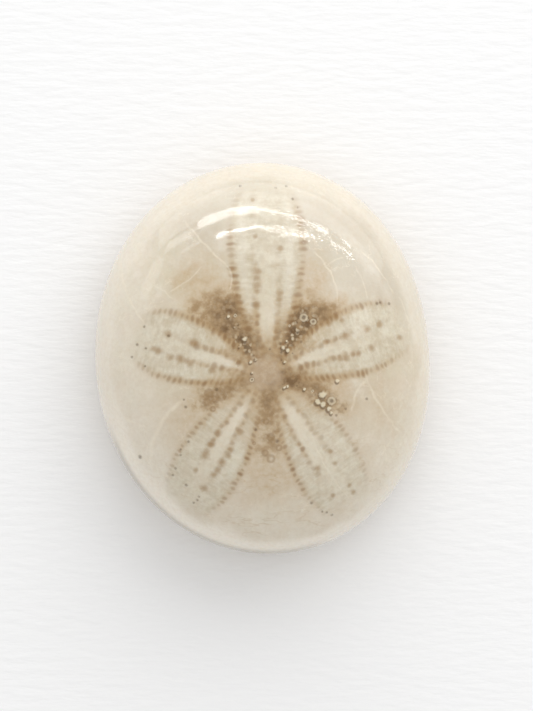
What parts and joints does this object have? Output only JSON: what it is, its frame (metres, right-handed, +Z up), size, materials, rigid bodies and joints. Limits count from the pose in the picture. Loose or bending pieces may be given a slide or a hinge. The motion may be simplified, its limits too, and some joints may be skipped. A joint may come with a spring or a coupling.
{
  "type": "fossil sea urchin",
  "caption": "Polished fossil sea urchin, a domed oval stone with petal-shaped rows of pores on top and a sunken mouth in its flat underside, for display or as a paperweight.",
  "frame": {"origin": "on the surface that the stone rests on, under the middle of its box", "axes": "+Z up through the dome, +Y towards the front of the animal along its length, +X to its right as seen from above with the front away from the viewer"},
  "size_m": [0.0384, 0.0448, 0.0175],
  "materials": {
    "polished_calcite": "polished cream calcite with brown pores and stains, glossy on the dome and duller underneath"
  },
  "bodies": {
    "root": {"fossil_urchin": "polished_calcite"}
  },
  "joints": []
}
